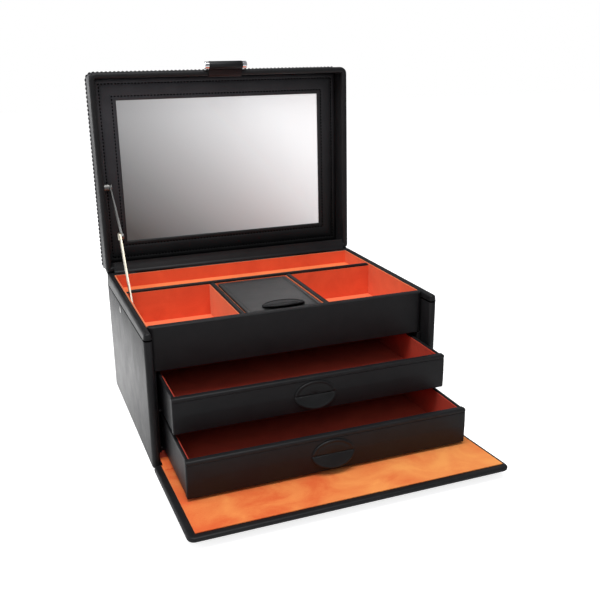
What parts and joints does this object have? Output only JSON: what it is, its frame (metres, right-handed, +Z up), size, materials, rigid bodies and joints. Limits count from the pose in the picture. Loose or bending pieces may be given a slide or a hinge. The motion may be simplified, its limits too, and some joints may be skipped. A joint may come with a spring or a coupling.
{
  "type": "jewelry case",
  "caption": "Leather-covered jewelry case with a mirrored lid on a folding stay, lined tray, removable travel case, pull-out drawers and a fold-down front flap.",
  "frame": {"origin": "on the table, in the middle of the case's width, below the front edges of its side walls", "axes": "+X to the case's right, +Y to its back, +Z up"},
  "size_m": [0.275, 0.3621, 0.3327],
  "materials": {
    "black_leather": "satin",
    "orange_suede": "matte",
    "mirror": "polished",
    "chrome": "polished",
    "nickel": "satin"
  },
  "bodies": {
    "case": {"left_wall": "black_leather", "right_wall": "black_leather", "back_wall": "black_leather", "base_board": "black_leather", "base_lining": "orange_suede", "bay_side_left": "black_leather", "bay_side_right": "black_leather", "drawer_runner_left": "black_leather", "drawer_runner_right": "black_leather", "drawer_shelf": "black_leather", "front_panel": "black_leather", "tray_floor": "black_leather", "tray_lining": "orange_suede", "long_divider": "black_leather", "long_divider_lining": "orange_suede", "rear_tray_step": "orange_suede", "rear_step_lining": "orange_suede", "cross_divider_left": "black_leather", "cross_divider_left_lining": "orange_suede", "cross_divider_right": "black_leather", "cross_divider_right_lining": "orange_suede", "stay_rivet_case": "nickel", "hinge_leaf_case_left": "nickel", "hinge_leaf_case_right": "nickel", "hinge_pin_left": "nickel", "hinge_pin_right": "nickel"},
    "lid": {"lid_panel": "black_leather", "lid_wall_left": "black_leather", "lid_wall_right": "black_leather", "lid_wall_front": "black_leather", "lid_wall_back": "black_leather", "mirror_frame": "black_leather", "mirror_glass": "mirror", "hinge_leaf_lid_left": "nickel", "hinge_leaf_lid_right": "nickel", "stay_rivet_lid": "nickel", "latch_strap_root": "black_leather"},
    "latch": {"latch_loop": "black_leather", "latch_bar": "chrome"},
    "lower_arm": {"stay_lower_arm": "nickel"},
    "upper_arm": {"stay_upper_arm": "nickel"},
    "flap": {"flap_board": "black_leather", "flap_lining": "orange_suede"},
    "upper_drawer": {"upper_drawer_front": "black_leather", "upper_drawer_box": "black_leather", "upper_drawer_lining": "orange_suede", "upper_drawer_pull": "black_leather"},
    "lower_drawer": {"lower_drawer_front": "black_leather", "lower_drawer_box": "black_leather", "lower_drawer_lining": "orange_suede", "lower_drawer_pull": "black_leather"},
    "travel_case": {"travel_box": "black_leather", "travel_lining": "orange_suede"},
    "travel_cover": {"travel_lid": "black_leather", "travel_lid_lining": "orange_suede", "travel_pull": "black_leather"}
  },
  "joints": [
    {"name": "lid_hinge", "type": "hinge", "parent": "case", "child": "lid", "pos_m": [0, 0.198, 0.124], "axis": [-1, 0, 0], "range_deg": [-92, 0]},
    {"name": "stay_lower_pivot", "type": "hinge", "parent": "case", "child": "lower_arm", "pos_m": [-0.126, 0.117, 0.11], "axis": [-1, 0, 0], "range_deg": [-113, 0.5]},
    {"name": "stay_upper_pivot", "type": "hinge", "parent": "lid", "child": "upper_arm", "pos_m": [-0.1243, 0.21601, 0.20992], "axis": [-1, 0, 0], "range_deg": [-0.5, 118]},
    {"name": "latch_swing", "type": "hinge", "parent": "lid", "child": "latch", "pos_m": [0, 0.2044, 0.3244], "axis": [1, 0, 0], "range_deg": [0, 80]},
    {"name": "flap_hinge", "type": "hinge", "parent": "case", "child": "flap", "pos_m": [0, -0.003, 0.0021], "axis": [-1, 0, 0], "range_deg": [-3.3, 0]},
    {"name": "upper_drawer_slide", "type": "slide", "parent": "case", "child": "upper_drawer", "axis": [0, -1, 0], "range_m": [-0.0523, 0.06]},
    {"name": "lower_drawer_slide", "type": "slide", "parent": "case", "child": "lower_drawer", "axis": [0, -1, 0], "range_m": [-0.091, 0.025]},
    {"name": "travel_case_lift", "type": "slide", "parent": "case", "child": "travel_case", "axis": [0, 0, 1], "range_m": [0, 0.06]},
    {"name": "travel_cover_hinge", "type": "hinge", "parent": "travel_case", "child": "travel_cover", "pos_m": [-0.0027, 0.1252, 0.1199], "axis": [-1, 0, 0], "range_deg": [0, 110]}
  ],
  "couplings": [
    {"joint": "stay_lower_pivot", "follows": "lid_hinge", "ratio": 1.2225},
    {"joint": "stay_upper_pivot", "follows": "lid_hinge", "ratio": -1.275}
  ]
}
